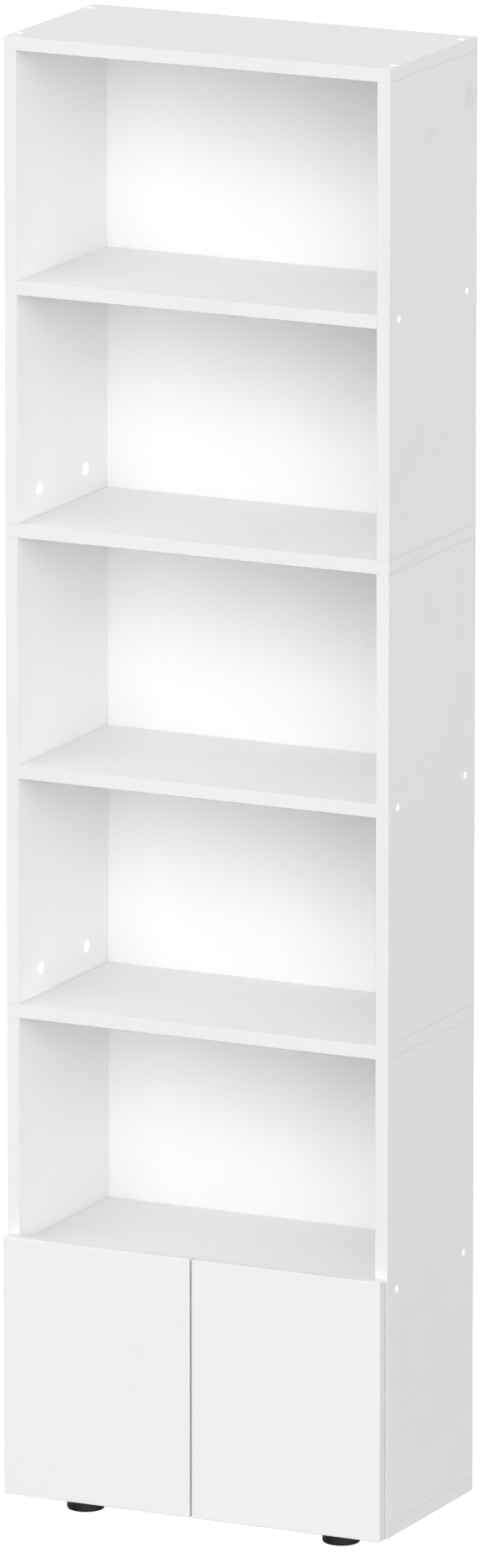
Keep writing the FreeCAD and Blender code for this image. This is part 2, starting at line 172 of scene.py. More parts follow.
def tintBy(tree, value, tints, places=noiseRange):
    ramp = addNode(tree, "ShaderNodeValToRGB", {"Fac": value})
    stops = ramp.color_ramp.elements
    for _ in tints[2:]:
        stops.new(1)
    for stop, place, tint in zip(stops, places, tints):
        stop.position, stop.color = place, (*tint, 1)
    return ramp.outputs["Color"]


def facing(tree, axis, sign):
    # 1 on the faces that look that way, 0 on the rest
    normal = addNode(tree, "ShaderNodeTexCoord").outputs["Normal"]
    along = addNode(tree, "ShaderNodeSeparateXYZ", {"Vector": normal}).outputs[axis]
    slanted, straight = squarely
    links = {"Value": along, "From Min": slanted * sign, "From Max": straight * sign}
    return addNode(tree, "ShaderNodeMapRange", links).outputs["Result"]


def onEases(tree):
    # 1 on the slanted eases along a board's edges, 0 on its flat faces
    normal = addNode(tree, "ShaderNodeTexCoord").outputs["Normal"]
    size = addNode(tree, "ShaderNodeVectorMath", {0: normal}, operation="ABSOLUTE").outputs["Vector"]
    x, y, z = addNode(tree, "ShaderNodeSeparateXYZ", {"Vector": size}).outputs
    larger = addNode(tree, "ShaderNodeMath", {0: x, 1: y}, operation="MAXIMUM").outputs["Value"]
    largest = addNode(tree, "ShaderNodeMath", {0: larger, 1: z}, operation="MAXIMUM").outputs["Value"]
    slanted, straight = squarely
    links = {"Value": largest, "From Min": straight, "From Max": slanted}
    return addNode(tree, "ShaderNodeMapRange", links).outputs["Result"]


def between(tree, share, low, high):
    return addNode(tree, "ShaderNodeMix", {"Factor": share, "A": low, "B": high}).outputs["Result"]


def setBump(tree, shader, height, strength, depth):
    links = {"Height": height, "Strength": strength, "Distance": depth * mm}
    bump = addNode(tree, "ShaderNodeBump", links)
    tree.links.new(bump.outputs["Normal"], shader.inputs["Normal"])


# melamine foil with a fine pearl, a smoother front band whose tint is darkened as painted shade, and eased
# edges darkened further as painted shade for the joints between boards
boardFoilLook = {
    "tints": ((0.874, 0.875, 0.875), (0.889, 0.890, 0.890)),
    # the front band: a smoother edge band, its tint darkened as painted shade against the front lamps
    "bandShadeTint": (0.752, 0.752, 0.752),
    # the eased edges: darker still, painted shade standing in for the shadow in the joints between boards
    "seamShadeTint": (0.725, 0.725, 0.725),
    "gloss": (0.44, 0.58),
    "bandGloss": 0.50,
    "cloud": (5.0, 3.0),        # scale and detail
    "pearl": 650.0,
    "relief": 0.16,
    "bandRelief": 0.03,
    "depth": 0.2,
}
doorFoilLook = {
    # the door's edges and back: lighter than its front, painted light on the faces the front lamps miss
    "tints": ((0.840, 0.840, 0.840), (0.856, 0.856, 0.856)),
    # the door's front: darker than its edges, painted shade against the front lamps
    "bandShadeTint": (0.773, 0.773, 0.773),
    # the door's eases take the same painted shade as its front
    "seamShadeTint": (0.773, 0.773, 0.773),
    "gloss": (0.48, 0.58),
    "bandGloss": 0.52,
    "cloud": (5.0, 3.0),        # scale and detail
    "pearl": 900.0,
    "relief": 0.07,
    "bandRelief": 0.07,
    "depth": 0.2,
}
foilStops = (0, 0.15, *noiseRange)      # eased edges with painted seam shade, front band with painted shade, and the two tints of the faces
foilBand = (0.15, 0.18)                 # the front band's cloud stays beside its own stop


def makeFoil(name, look):
    finish, tree, shader = newFinish(name)
    cloud = noiseOver(tree, *look["cloud"])
    # the faces that look to the front: the smoother edge band, and the painted shade of its tint
    bandAndShade = facing(tree, "Y", -1)
    flat = between(tree, bandAndShade, cloud, spreadTo(tree, cloud, *foilBand))
    # the eased edges take the seam tint: painted shade for the joints between boards
    shade = between(tree, onEases(tree), flat, foilStops[0])
    tints = (look["seamShadeTint"], look["bandShadeTint"], *look["tints"])
    tree.links.new(tintBy(tree, shade, tints, foilStops), shader.inputs["Base Color"])
    pearl = noiseOver(tree, look["pearl"])
    gloss = between(tree, bandAndShade, spreadTo(tree, pearl, *look["gloss"]), look["bandGloss"])
    tree.links.new(gloss, shader.inputs["Roughness"])
    relief = between(tree, bandAndShade, look["relief"], look["bandRelief"])
    setBump(tree, shader, pearl, relief, look["depth"])
    return finish


# rolled lacquer in front, the press screen's print behind
backLacquerLook = {
    "tints": ((0.862, 0.863, 0.863), (0.877, 0.877, 0.877)),
    "gloss": (0.46, 0.60),
    "rearGloss": 0.80,
    "cloud": (4.0, 3.0),        # scale and detail
    "roller": (260.0, 260.0, 4.0),
    "rollerDetail": 3.0,
    "screen": 36.0,
    "relief": 0.10,
    "screenRelief": 0.45,
    "depth": 0.2,
}


def makeBackLacquer(name, look):
    finish, tree, shader = newFinish(name)
    cloud = noiseOver(tree, *look["cloud"])
    tree.links.new(tintBy(tree, cloud, look["tints"]), shader.inputs["Base Color"])
    rear = facing(tree, "Y", 1)
    roller = noiseOver(tree, detail=look["rollerDetail"], stretch=look["roller"])
    gloss = between(tree, rear, spreadTo(tree, roller, *look["gloss"]), look["rearGloss"])
    tree.links.new(gloss, shader.inputs["Roughness"])
    waves = []
    for axis in "XZ":
        links = {"Vector": objectPlace(tree), "Scale": look["screen"]}
        wave = addNode(tree, "ShaderNodeTexWave", links, wave_type="BANDS", bands_direction=axis)
        waves.append(wave.outputs["Fac"])
    links = {0: waves[0], 1: waves[1]}
    screen = addNode(tree, "ShaderNodeMath", links, operation="MULTIPLY").outputs["Value"]
    height = between(tree, rear, roller, screen)
    relief = between(tree, rear, look["relief"], look["screenRelief"])
    setBump(tree, shader, height, relief, look["depth"])
    return finish


# moulded plastics and the rubber of the bumpers; the covers' white glows a little, painted light that
# makes them read brighter than the boards
plasticLooks = {
    "cloud": 60.0,
    "depth": 0.15,
    "coverPlastic": {"tints": ((0.960, 0.960, 0.960), (0.975, 0.975, 0.975)), "gloss": (0.20, 0.30),
                     "grain": 900.0, "relief": 0.05, "clear": 0.0, "paintedGlow": 0.18},
    "footPlastic": {"tints": ((0.006, 0.006, 0.006), (0.010, 0.010, 0.010)), "gloss": (0.52, 0.68),
                    "grain": 1400.0, "relief": 0.22, "clear": 0.0, "paintedGlow": 0.0},
    "bumperRubber": {"tints": ((0.82, 0.83, 0.82), (0.90, 0.91, 0.90)), "gloss": (0.16, 0.26),
                     "grain": 500.0, "relief": 0.04, "clear": 0.75, "paintedGlow": 0.0},
}


def makePlastic(name, look):
    finish, tree, shader = newFinish(name)
    grain = noiseOver(tree, look["grain"])
    cloud = noiseOver(tree, plasticLooks["cloud"])
    tree.links.new(tintBy(tree, cloud, look["tints"]), shader.inputs["Base Color"])
    tree.links.new(spreadTo(tree, grain, *look["gloss"]), shader.inputs["Roughness"])
    shader.inputs["Transmission Weight"].default_value = look["clear"]
    shader.inputs["Emission Color"].default_value = (1, 1, 1, 1)
    # painted glow: the covers give off a little light of their own so their white reads brighter than the
    # boards
    shader.inputs["Emission Strength"].default_value = look["paintedGlow"]
    setBump(tree, shader, grain, look["relief"], plasticLooks["depth"])
    return finish


# plated steels: fine drawn lines along one axis, and a cloudy plating
steelLooks = {
    "cloud": (90.0, 3.0),       # scale and detail
    "depth": 0.1,
    "zincSteel": {"tints": ((0.56, 0.57, 0.60), (0.68, 0.69, 0.70)), "gloss": (0.30, 0.44),
                  "lines": (500.0, 500.0, 500.0), "relief": 0.08},
    "hingeNickel": {"tints": ((0.69, 0.685, 0.67), (0.75, 0.745, 0.73)), "gloss": (0.22, 0.29),
                    "lines": (1800.0, 150.0, 1800.0), "relief": 0.02},
}


def makeSteel(name, look):
    finish, tree, shader = newFinish(name)
    cloud = noiseOver(tree, *steelLooks["cloud"])
    lines = noiseOver(tree, stretch=look["lines"])
    tree.links.new(tintBy(tree, cloud, look["tints"]), shader.inputs["Base Color"])
    tree.links.new(spreadTo(tree, lines, *look["gloss"]), shader.inputs["Roughness"])
    shader.inputs["Metallic"].default_value = 1
    setBump(tree, shader, lines, look["relief"], steelLooks["depth"])
    return finish


beechLook = {
    "tints": ((0.50, 0.33, 0.19), (0.68, 0.50, 0.32)),
    "gloss": (0.55, 0.72),
    "fibres": (900.0, 900.0, 60.0),
    "fibreDetail": 4.0,
    "relief": 0.25,
    "depth": 0.2,
}


def makeBeech(name, look):
    finish, tree, shader = newFinish(name)
    fibres = noiseOver(tree, detail=look["fibreDetail"], stretch=look["fibres"])
    tree.links.new(tintBy(tree, fibres, look["tints"]), shader.inputs["Base Color"])
    tree.links.new(spreadTo(tree, fibres, *look["gloss"]), shader.inputs["Roughness"])
    setBump(tree, shader, fibres, look["relief"], look["depth"])
    return finish


finishes = {
    "white_board": makeFoil("boardFoil", boardFoilLook),
    "white_door": makeFoil("doorFoil", doorFoilLook),
    "white_back": makeBackLacquer("backLacquer", backLacquerLook),
    "white_plastic": makePlastic("coverPlastic", plasticLooks["coverPlastic"]),
    "black_plastic": makePlastic("footPlastic", plasticLooks["footPlastic"]),
    "clear_rubber": makePlastic("bumperRubber", plasticLooks["bumperRubber"]),
    "zinc_steel": makeSteel("zincSteel", steelLooks["zincSteel"]),
    "hinge_steel": makeSteel("hingeNickel", steelLooks["hingeNickel"]),
    "beech": makeBeech("beech", beechLook),
}
# the end of a node's name tells what it is made of; the rest are boards
slotEndings = {
    "_door": "white_door",
    "_back": "white_back",
    "_caps": "white_plastic",
    "_covers": "white_plastic",
    "_foot": "black_plastic",
    "_bumpers": "clear_rubber",
    "dowels": "beech",
    "_screws": "zinc_steel",
    "_nails": "zinc_steel",
    "_bolts": "zinc_steel",
    "_locks": "zinc_steel",
    "_cup": "hinge_steel",
    "_arm": "hinge_steel",
    "_plate": "hinge_steel",
    "_links": "hinge_steel",
    "_pins": "hinge_steel",
}


def slotOf(nodeName):
    slots = (slot for ending, slot in slotEndings.items() if nodeName.endswith(ending))
    return next(slots, "white_board")


for name, node in nodes.items():
    node.data.materials.clear()
    node.data.materials.append(finishes[slotOf(name)])
print("finishes given")


# modelling

modelling = {
    "merge": 0.002,     # millimetres between points that are one
    "near": 0.1,        # millimetres around a plane that counts as on it
    "facing": 0.9,      # share of a normal along the axis that a face looks along
    "smooth": 32,       # degrees below which a bend is shaded round
    "flat": 0.5,        # degrees below which two faces become one
}


def startPiece(name, addPrimitive, **settings):
    bpy.ops.object.select_all(action="DESELECT")
    addPrimitive(**settings)
    piece = bpy.context.object
    piece.name = piece.data.name = name
    return piece


def editMode(on=True):
    bpy.ops.object.mode_set(mode="EDIT" if on else "OBJECT")


def pick(kind, test):
    # selects only the points, edges or faces that pass the test
    bpy.ops.mesh.select_mode(type=kind)
    bpy.ops.mesh.select_all(action="DESELECT")
    mesh = bmesh.from_edit_mesh(bpy.context.object.data)
    for part in {"VERT": mesh.verts, "EDGE": mesh.edges, "FACE": mesh.faces}[kind]:
        if test(part):
            part.select_set(True)
    mesh.select_flush_mode()
    bmesh.update_edit_mesh(bpy.context.object.data)


def onlyPiece(piece):
    bpy.ops.object.select_all(action="DESELECT")
    piece.select_set(True)
    bpy.context.view_layer.objects.active = piece


def applyModifier(piece, kind, **settings):
    onlyPiece(piece)
    modifier = piece.modifiers.new(kind.lower(), kind)
    for key, value in settings.items():
        setattr(modifier, key, value)
    bpy.ops.object.modifier_apply(modifier=modifier.name)


def flattenFaces():
    bpy.ops.mesh.select_all(action="SELECT")
    bpy.ops.mesh.dissolve_limited(angle_limit=math.radians(modelling["flat"]))


def cleanMesh(piece, reach):
    # merges points and flat faces that a cut left behind, reach in millimetres
    onlyPiece(piece)
    editMode()
    bpy.ops.mesh.select_mode(type="VERT")
    bpy.ops.mesh.select_all(action="SELECT")
    bpy.ops.mesh.remove_doubles(threshold=reach * mm)
    bpy.ops.mesh.dissolve_degenerate(threshold=reach * mm)
    flattenFaces()
    editMode(False)


def cutWith(piece, cutter, operation="DIFFERENCE"):
    applyModifier(piece, "BOOLEAN", object=cutter, operation=operation, solver="EXACT")
    bpy.data.objects.remove(cutter)


def turnPiece(name, outline, steps):
    # outline: radius and height in millimetres, drawn point by point and turned about Z
    piece = startPiece(name, bpy.ops.mesh.primitive_plane_add, size=mm)
    editMode()
    bpy.ops.mesh.select_mode(type="VERT")
    bpy.ops.mesh.select_all(action="SELECT")
    bpy.ops.mesh.merge(type="CENTER")
    last = (0, 0)
    for i, (radius, height) in enumerate(outline):
        step = {"value": ((radius - last[0]) * mm, 0, (height - last[1]) * mm)}
        if i == 0:
            bpy.ops.transform.translate(**step)
        else:
            bpy.ops.mesh.extrude_region_move(TRANSFORM_OT_translate=step)
        last = (radius, height)
    bpy.ops.mesh.select_all(action="SELECT")
    bpy.ops.mesh.spin(steps=steps, angle=2 * math.pi, center=(0, 0, 0), axis=(0, 0, 1))
    bpy.ops.mesh.select_all(action="SELECT")
    bpy.ops.mesh.remove_doubles(threshold=modelling["merge"] * mm)
    bpy.ops.mesh.normals_make_consistent(inside=False)
    editMode(False)
    return piece


def copyTo(source, places):
    # places: seat in metres and the way the piece's top looks; the copies become one piece
    copies = []
    for seat, way in places:
        onlyPiece(source)
        bpy.ops.object.duplicate()
        copy = bpy.context.object
        copy.rotation_euler = Vector((0, 0, 1)).rotation_difference(Vector(way)).to_euler()
        copy.location = seat
        bpy.ops.object.transform_apply(location=True, rotation=True, scale=True)
        copies.append(copy)
    for copy in copies:
        copy.select_set(True)
    if len(copies) > 1:
        bpy.ops.object.join()
    return bpy.context.object


def settle(piece, name, body, *replaced):
    onlyPiece(piece)
    bpy.ops.object.transform_apply(location=True, rotation=True, scale=True)
    bpy.ops.object.shade_smooth_by_angle(angle=math.radians(modelling["smooth"]))
    slot = slotOf(replaced[0])
    piece.name = piece.data.name = name
    piece.data.materials.clear()
    piece.data.materials.append(finishes[slot])
    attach(piece, body)
    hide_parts(*replaced)
    return piece


def discard(*pieces):
    for piece in pieces:
        bpy.data.objects.remove(piece)


# places shared with the solids, in millimetres
carcass = {
    "halfWidth": 275.0,
    "innerX": 257.0,
    "sideX": 266.0,
    "topZ": 1964.0,
    "screwRows": (-95.0, 110.0),
    "shelfMiddles": (355.0, 995.0, 1635.0),
    "camRows": (-60.0, 75.0),
    "camHeights": (719.0, 1359.0),
    "doorBackY": -126.0,
}


def at(x, y, z):
    return (x * mm, y * mm, z * mm)


screwCover = {
    # a domed face on a short stem: radius and height, from the middle of the face
    "outline": ((0, 0.80), (1.3, 0.78), (2.5, 0.71), (3.5, 0.60), (4.3, 0.46), (4.9, 0.30),
                (5.2, 0.14), (5.25, 0), (2.0, 0), (2.0, -2.2), (1.7, -2.5), (0, -2.5)),
    "steps": 40,
}


def makeScrewCovers():
    cover = turnPiece("screwCover", screwCover["outline"], screwCover["steps"])
    places = [(at(side * carcass["halfWidth"], y, z), (side, 0, 0))
              for side in (-1, 1) for y in carcass["screwRows"] for z in carcass["shelfMiddles"]]
    places += [(at(side * carcass["sideX"], y, carcass["topZ"]), (0, 0, 1))
               for side in (-1, 1) for y in carcass["screwRows"]]
    settle(copyTo(cover, places), "screwCovers", "carcass", "screw_caps")
    discard(cover)


camCover = {
    # flat, with a ring pressed round the middle
    "outline": ((0, 1.0), (5.6, 0.98), (5.9, 0.90), (6.2, 0.96), (7.3, 0.88), (7.9, 0.72),
                (8.3, 0.42), (8.4, 0), (2.0, 0), (2.0, -2.7), (1.7, -3.0), (0, -3.0)),
    "steps": 48,
}


def makeCamCovers():
    cover = turnPiece("camCover", camCover["outline"], camCover["steps"])
    places = [(at(side * carcass["innerX"], y, z), (-side, 0, 0))
              for side in (-1, 1) for y in carcass["camRows"] for z in carcass["camHeights"]]
    settle(copyTo(cover, places), "camCovers", "carcass", "cam_covers")
    discard(cover)


foot = {
    # from the screw's hole over the top, down the rim and back up the recess
    "outline": ((2.3, 26), (21.3, 26), (22.0, 25.3), (24.3, 10.6), (24.9, 9.6), (25, 8.8), (25, 3.0),
                (24.77, 1.85), (24.12, 0.88), (23.15, 0.23), (22, 0), (19.5, 0), (18.9, 0.7), (9.1, 0.7),
                (8.5, 0), (6.5, 0), (6.0, 0.5), (6.0, 14), (2.3, 14), (2.3, 26)),
    "steps": 72,
    "sideX": 186.0,
    "rows": {"front": -74.0, "rear": 89.0},
    "screwSeat": 14.0,
}


def makeFeet():
    one = turnPiece("foot", foot["outline"], foot["steps"])
    for row, y in foot["rows"].items():
        for side, sign in (("left", -1), ("right", 1)):
            copy = copyTo(one, [(at(sign * foot["sideX"], y, 0), (0, 0, 1))])
            settle(copy, row + side.capitalize() + "Foot", "carcass", f"{row}_{side}_foot")
    discard(one)


bumper = {
    "outline": ((0, 1.7), (1.5, 1.63), (2.6, 1.40), (3.4, 1.02), (3.85, 0.55), (4.0, 0), (0, 0)),
    "steps": 32,
    "doorX": 29.5,
    "heights": (35.0, 355.0),
}


def makeBumpers():
    dome = turnPiece("bumper", bumper["outline"], bumper["steps"])
    for side, sign in (("left", -1), ("right", 1)):
        places = [(at(sign * bumper["doorX"], carcass["doorBackY"], z), (0, 1, 0))
                  for z in bumper["heights"]]
        settle(copyTo(dome, places), side + "DoorBumpers", side + "_door", side + "_door_bumpers")
    discard(dome)


makeScrewCovers()
makeCamCovers()
makeFeet()
makeBumpers()
print("covers, feet and bumpers modelled")


# concealed hinges, modelled once for the left door about the height of their middle

def addBox(name, x, y, z):
    ranges = (x, y, z)
    middle = at(*[(low + high) / 2 for low, high in ranges])
    size = at(*[high - low for low, high in ranges])
    piece = startPiece(name, bpy.ops.mesh.primitive_cube_add, size=1, location=middle, scale=size)
    bpy.ops.object.transform_apply(location=True, rotation=True, scale=True)
    return piece


def addRod(name, start, way, length, radius, steps=32):
    # from the start point along the way, in millimetres
    middle = Vector(at(*start)) + Vector(way) * length * mm / 2
    turn = Vector((0, 0, 1)).rotation_difference(Vector(way)).to_euler()
    piece = startPiece(name, bpy.ops.mesh.primitive_cylinder_add, vertices=steps, radius=radius * mm,
                       depth=length * mm, location=middle, rotation=turn)
    bpy.ops.object.transform_apply(location=True, rotation=True, scale=True)
    return piece


def drillRod(name, seat, axis, reach, radius, steps=32):
    # stands out of its seat by the reach, both ways along one axis
    start = [place - reach * (i == axis) for i, place in enumerate(seat)]
    way = [int(i == axis) for i in range(3)]
    return addRod(name, start, way, 2 * reach, radius, steps)


def joinPieces(pieces):
    onlyPiece(pieces[0])
    for piece in pieces:
        piece.select_set(True)
    bpy.ops.object.join()
    return bpy.context.object


def wrapAround(pieces):
    # one convex piece around several, as sheet metal is cut round its pivots
    joinPieces(pieces)
    editMode()
    bpy.ops.mesh.select_all(action="SELECT")
    bpy.ops.mesh.convex_hull()
    flattenFaces()
    editMode(False)
    return bpy.context.object


def softEdges(piece, width, segments=2, angle=40):
    applyModifier(piece, "BEVEL", width=width * mm, segments=segments, limit_method="ANGLE",
                  angle_limit=math.radians(angle))


def runsAlong(edge, axis):
    way = (edge.verts[0].co - edge.verts[1].co).normalized()
    return abs(way[axis]) > modelling["facing"]


def roundCorners(piece, axis, radius, segments):
    # rounds the edges that run along one axis
    onlyPiece(piece)
    editMode()
    pick("EDGE", lambda e: runsAlong(e, axis))
    bpy.ops.mesh.bevel(offset=radius * mm, segments=segments, affect="EDGES", offset_type="OFFSET")
    editMode(False)


def easeRim(piece, axis, width, segments):
    # eases the rim of the face that looks along one axis
    onlyPiece(piece)
    editMode()
    pick("FACE", lambda f: f.normal[axis] > modelling["facing"])
    bpy.ops.mesh.region_to_loop()
    bpy.ops.mesh.bevel(offset=width * mm, segments=segments, affect="EDGES")
    editMode(False)


def placeHinge(source, side, height):
    # a copy for one door and height; the right one is turned over
    onlyPiece(source)
    bpy.ops.object.duplicate()
    copy = bpy.context.object
    copy.location = at(0, 0, height)
    if side == "right":
        copy.scale = (-1, 1, 1)
    bpy.ops.object.transform_apply(location=True, rotation=True, scale=True)
    editMode()
    bpy.ops.mesh.select_all(action="SELECT")
    bpy.ops.mesh.normals_make_consistent(inside=False)
    editMode(False)
    return copy


hinge = {
    "heights": {"lower": 106.0, "upper": 294.0},
    "cupCentre": (-251.15, -126.0, 0.0),
    "outerArmPivot": (-244.70, -135.0),
    "outerCupPivot": (-263.25, -132.3),
    "innerArmPivot": (-237.80, -135.0),
    "innerCupPivot": (-259.10, -128.0),
    "cheek": (4.85, 6.15),      # the arm's cheeks lie between these, above and below the middle
    "linkBand": (0.15, 4.55),
    "armScrew": (-244.6, -74.0, 0.0),
    "plateScrews": ((-254.5, -87.0, -16.0), (-254.5, -87.0, 16.0)),
    "cupScrews": ((-241.65, -124.8, -24.0), (-241.65, -124.8, 24.0)),
}

hingeCup = {
    # outside of the bowl from its floor to its rim, and back down the inside
    "bowl": ((0, -12.6), (15.9, -12.6), (16.9, -12.2), (17.4, -11.3), (17.5, -10.4), (17.5, 0),
             (17.35, 0), (16.9, -0.45), (16.9, -10.4), (16.7, -11.2), (16.1, -11.8), (15.4, -12.0),
             (0, -12.0)),
    "mouth": 17.35,
    "steps": 96,
    "wing": ((-249.15, -234.15), (-126.0, -124.8), (-32.0, 32.0)),
    "wingRound": (6.0, 8),      # radius and segments
    "wingEase": (0.45, 3),
    "screwHole": 1.85,
    "drill": 3,
}


def makeHingeCup():
    bowl = turnPiece("hingeBowl", hingeCup["bowl"], hingeCup["steps"])
    bowl.rotation_euler = (math.radians(-90), 0, 0)
    bowl.location = at(*hinge["cupCentre"])
    bpy.ops.object.transform_apply(location=True, rotation=True, scale=True)
    wing = addBox("hingeWing", *hingeCup["wing"])
    roundCorners(wing, 1, *hingeCup["wingRound"])
    easeRim(wing, 1, *hingeCup["wingEase"])
    reach = hingeCup["drill"]
    cutWith(wing, drillRod("mouth", hinge["cupCentre"], 1, reach, hingeCup["mouth"], hingeCup["steps"]))
    for seat in hinge["cupScrews"]:
        cutWith(wing, drillRod("screwHole", seat, 1, reach, hingeCup["screwHole"]))
    return joinPieces([bowl, wing])


hingeArm = {
    "x": (-253.8, -244.6),
    "y": (-111.0, -62.0),
    "wall": 1.3,
    "bend": (1.6, 5),           # radius and segments
    "noseRoot": (-249.65, -108.0),
    "noseRadius": 2.0,
    "slot": 2.2,                # how far the screw's slot runs each way
    "slotRadius": 2.1,
    "tailRound": 3.0,
    "tailCut": (3.0, 1.0),      # how far a corner's cutter runs into the cheek and past the steel
    "rib": (-105.0, -84.0),     # the pressed rib along the arm
    "ribSize": (2.4, 0.35),     # half width and depth
    "ribCutter": 3,
    "drill": 4,
    "tailDrill": 5,
    "merge": 0.03,
    "edge": 0.2,
}


def makeHingeArm():
    low, high = hinge["cheek"]
    rootX, topX = hingeArm["x"]
    arm = addBox("hingeArm", hingeArm["x"], hingeArm["y"], (-high, high))
    editMode()
    top = (topX - modelling["near"]) * mm
    pick("EDGE", lambda e: all(v.co.x > top for v in e.verts) and runsAlong(e, 1))
    radius, segments = hingeArm["bend"]
    bpy.ops.mesh.bevel(offset=radius * mm, segments=segments, affect="EDGES")
    straight = modelling["facing"]
    pick("FACE", lambda f: f.normal.x < -straight or abs(f.normal.y) > straight)
    bpy.ops.mesh.delete(type="FACE")
    editMode(False)
    applyModifier(arm, "SOLIDIFY", thickness=hingeArm["wall"] * mm, offset=-1, use_even_offset=True)

    start, end = hingeArm["rib"]
    half, depth = hingeArm["ribSize"]
    rib = wrapAround([addRod("rib", (topX - depth, y, 0), (1, 0, 0), hingeArm["ribCutter"], half)
                      for y in (start + half, end - half)])
    cutWith(arm, rib)

    x, y, z = hinge["armScrew"]
    slot = wrapAround([drillRod("slot", (x, y + step, z), 0, hingeArm["drill"], hingeArm["slotRadius"])
                       for step in (-hingeArm["slot"], hingeArm["slot"])])
    cutWith(arm, slot)

    pivots = (hinge["outerArmPivot"], hinge["innerArmPivot"], hingeArm["noseRoot"])
    for start in (low, -high):
        nose = wrapAround([addRod("nose", (*pivot, start), (0, 0, 1), high - low, hingeArm["noseRadius"])
                           for pivot in pivots])
        cutWith(arm, nose, "UNION")

    tail, radius = hingeArm["y"][1], hingeArm["tailRound"]
    inward, outward = hingeArm["tailCut"]
    for z in (-high, high):
        side = math.copysign(1, z)
        corner = addBox("corner", (rootX - outward, rootX + radius), (tail - radius, tail + outward),
                        sorted((z - inward * side, z + outward * side)))
        middle = (rootX + radius, tail - radius, z)
        cutWith(corner, drillRod("rounding", middle, 2, hingeArm["tailDrill"], radius))
        cutWith(arm, corner)
    cleanMesh(arm, hingeArm["merge"])
    softEdges(arm, hingeArm["edge"])
    return arm


hingePlate = {
    "wing": ((-257.0, -254.5), (-94.5, -79.5), (-23.0, 23.0)),
    "wingRound": (5.0, 8),      # radius and segments
    "wingEase": (0.7, 3),
    "bridge": ((-257.0, -245.9), (-104.0, -68.0), (-4.55, 4.55)),
    "bridgeEase": (0.9, 3),
    "screwHole": 2.0,
    "drill": 4,
}


def makeHingePlate():
    wing = addBox("hingePlate", *hingePlate["wing"])
    roundCorners(wing, 0, *hingePlate["wingRound"])
    easeRim(wing, 0, *hingePlate["wingEase"])
    bridge = addBox("bridge", *hingePlate["bridge"])
    easeRim(bridge, 0, *hingePlate["bridgeEase"])
    cutWith(wing, bridge, "UNION")
    for seat in hinge["plateScrews"]:
        cutWith(wing, drillRod("screwHole", seat, 0, hingePlate["drill"], hingePlate["screwHole"]))
    return wing


hingeLinks = {
    "outerRadius": 2.0,
    "innerRadius": 2.35,
    "slotRadius": 1.65,
    "slotReach": (0.8, 2.85),   # beyond the cup's pivot and back from it
    "slotCut": 1,               # how far the slot's cutter stands out of the link
    "edge": 0.35,
}


def makeOuterLink():
    low, high = hinge["linkBand"]
    pivots = (hinge["outerArmPivot"], hinge["outerCupPivot"])
    link = wrapAround([addRod("outerLink", (*pivot, low), (0, 0, 1), high - low, hingeLinks["outerRadius"])
                       for pivot in pivots])
    softEdges(link, hingeLinks["edge"])
    return link


def makeInnerLink():
    low, high = (-edge for edge in reversed(hinge["linkBand"]))
    start, pivot = Vector(hinge["innerArmPivot"]), Vector(hinge["innerCupPivot"])
    along = (pivot - start).normalized()
    outward, inward = hingeLinks["slotReach"]
    far, near = pivot + along * outward, pivot - along * inward
    link = wrapAround([addRod("innerLink", (*point, low), (0, 0, 1), high - low, hingeLinks["innerRadius"])
                       for point in (start, far)])
    softEdges(link, hingeLinks["edge"])
    beyond = hingeLinks["slotCut"]
    low, high = low - beyond, high + beyond
    slot = wrapAround([addRod("slot", (*point, low), (0, 0, 1), high - low, hingeLinks["slotRadius"])
                       for point in (near, far)])
    cutWith(link, slot)
    return link


hingePins = {
    # from a pin's foot to its riveted head, radius and height in millimetres
    "armPin": ((0, 0), (0.9, 0), (1.1, 0.2), (1.1, 6.0), (1.75, 6.0), (1.7, 6.25), (1.3, 6.42),
               (0.6, 6.48), (0, 6.5)),
    "steps": 24,
    "gap": 0.15,
}


def makeArmPins():
    pin = turnPiece("armPin", hingePins["armPin"], hingePins["steps"])
    gap = hingePins["gap"]
    pins = copyTo(pin, [(at(*hinge["outerArmPivot"], gap), (0, 0, 1)),
                        (at(*hinge["innerArmPivot"], -gap), (0, 0, -1))])
    discard(pin)
    return pins


# cross-recess screws: the outline runs from the middle of the head to the shank, the shank has
# crest, root, length and pitch, and the cross has reach, half width and depth
screws = {
    "cupScrew": {"outline": ((0, 0.9), (2.3, 0.86), (2.9, 0.68), (3.2, 0.35), (3.2, 0), (1.75, 0)),
                 "shank": (1.75, 1.25, 11.0, 1.25), "cross": (1.9, 0.36, 0.75)},
    "plateScrew": {"outline": ((0, 1.6), (1.7, 1.52), (2.8, 1.2), (3.4, 0.7), (3.6, 0.25), (3.6, 0),
                               (1.9, 0)),
                   "shank": (1.9, 1.35, 15.0, 1.5), "cross": (2.1, 0.42, 1.2)},
    "armScrew": {"outline": ((0, 1.8), (2.7, 1.74), (3.2, 1.5), (3.4, 1.15), (3.4, 0), (2.0, 0)),
                 "shank": (2.0, 1.65, 9.0, 0.8), "cross": (2.2, 0.45, 1.4)},
    "footScrew": {"outline": ((0, 2.6), (1.9, 2.5), (3.3, 2.0), (4.1, 1.2), (4.4, 0.4), (4.4, 0),
                              (2.2, 0)),
                  "shank": (2.2, 1.6, 26.0, 1.8), "cross": (2.5, 0.5, 1.9)},
    "steps": 32,
    "neck": 0.6,                # plain shank under the head
    "tip": 2,                   # length of the tip in crests
    "crestShare": (0.45, 0.55),  # where a thread's crest lies on its turn
    "crossCut": 1,              # how far the cross's cutter stands out of the head
    "crossTaper": 0.45,
}


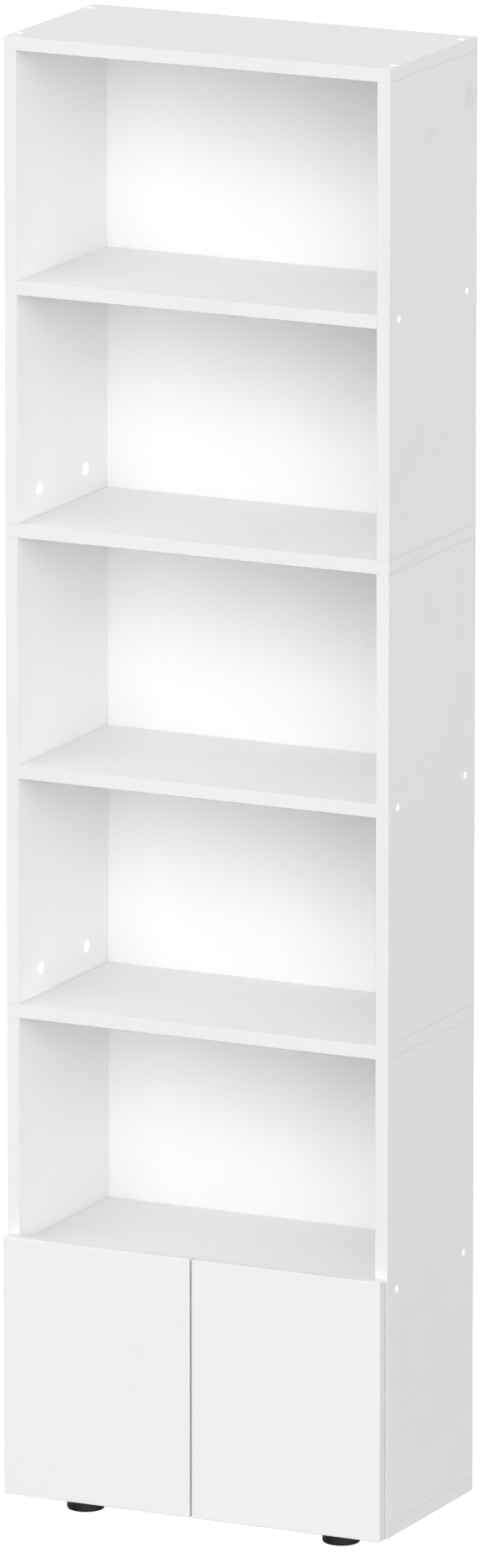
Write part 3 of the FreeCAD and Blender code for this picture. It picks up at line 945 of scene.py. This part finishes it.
def makeScrew(name):
    look = screws[name]
    crest, root, length, pitch = look["shank"]
    outline, depth = list(look["outline"]), screws["neck"]
    rise, fall = screws["crestShare"]
    while depth + pitch < length - screws["tip"] * crest:      # a ring of thread for each turn
        outline += [(root, -depth), (crest, -depth - rise * pitch),
                    (crest, -depth - fall * pitch), (root, -depth - pitch)]
        depth += pitch
    outline.append((0, -length))
    screw = turnPiece(name, outline, screws["steps"])
    reach, half, deep = look["cross"]
    top = look["outline"][0][1]
    floor = top - deep
    cross = addBox("cross", (-half, half), (-half, half), (floor, top + screws["crossCut"]))
    editMode()
    pick("FACE", lambda f: abs(f.normal.z) < modelling["facing"])
    bpy.ops.mesh.extrude_faces_move(TRANSFORM_OT_shrink_fatten={"value": (reach - half) * mm})
    pick("VERT", lambda v: v.co.z < (floor + modelling["near"]) * mm)
    taper = screws["crossTaper"]
    bpy.ops.transform.resize(value=(taper, taper, 1), center_override=(0, 0, floor * mm))
    bpy.ops.mesh.select_all(action="SELECT")
    bpy.ops.mesh.normals_make_consistent(inside=False)
    editMode(False)
    cutWith(screw, cross)
    return screw


def makeHinges():
    cup, arm, plate = makeHingeCup(), makeHingeArm(), makeHingePlate()
    outerLink, innerLink, armPins = makeOuterLink(), makeInnerLink(), makeArmPins()
    cupScrew, plateScrew, armScrew = makeScrew("cupScrew"), makeScrew("plateScrew"), makeScrew("armScrew")
    cupScrews = copyTo(cupScrew, [(at(*seat), (0, 1, 0)) for seat in hinge["cupScrews"]])
    plateScrews = copyTo(plateScrew, [(at(*seat), (1, 0, 0)) for seat in hinge["plateScrews"]])
    armScrews = copyTo(armScrew, [(at(*hinge["armScrew"]), (1, 0, 0))])
    singles = {"cup": cup, "arm": arm, "plate": plate}
    sideSets = {"outer": outerLink, "inner": innerLink, "cupScrews": cupScrews}
    sharedSets = {"plateScrews": plateScrews, "armScrews": armScrews, "armPins": armPins}
    shared = {key: [] for key in sharedSets}
    for side in ("left", "right"):
        door = side + "_door"
        own = {key: [] for key in sideSets}
        for level, height in hinge["heights"].items():
            for part, source in singles.items():
                name = side + level.capitalize() + "Hinge" + part.capitalize()
                body = door if part == "cup" else "carcass"
                settle(placeHinge(source, side, height), name, body, f"{side}_{level}_hinge_{part}")
            for key, source in sideSets.items():
                own[key].append(placeHinge(source, side, height))
            for key, source in sharedSets.items():
                shared[key].append(placeHinge(source, side, height))
        for kind in ("outer", "inner"):
            name = side + kind.capitalize() + "Links"
            settle(joinPieces(own[kind]), name, f"{side}_{kind}_link", f"{side}_{kind}_links")
        settle(joinPieces(own["cupScrews"]), side + "CupScrews", door, side + "_cup_screws")
    settle(joinPieces(shared["plateScrews"]), "hingePlateScrews", "carcass", "hinge_plate_screws")
    settle(joinPieces(shared["armScrews"]), "hingeArmScrews", "carcass", "hinge_arm_screws")
    settle(joinPieces(shared["armPins"]), "hingeArmPins", "carcass", "hinge_arm_pins")
    discard(cup, arm, plate, outerLink, innerLink, armPins)
    discard(cupScrew, plateScrew, armScrew, cupScrews, plateScrews, armScrews)


def makeFootScrews():
    screw = makeScrew("footScrew")
    places = [(at(sign * foot["sideX"], y, foot["screwSeat"]), (0, 0, -1))
              for y in foot["rows"].values() for sign in (-1, 1)]
    settle(copyTo(screw, places), "footScrews", "carcass", "foot_screws")
    discard(screw)


makeHinges()
makeFootScrews()
print("hinges and screws modelled")
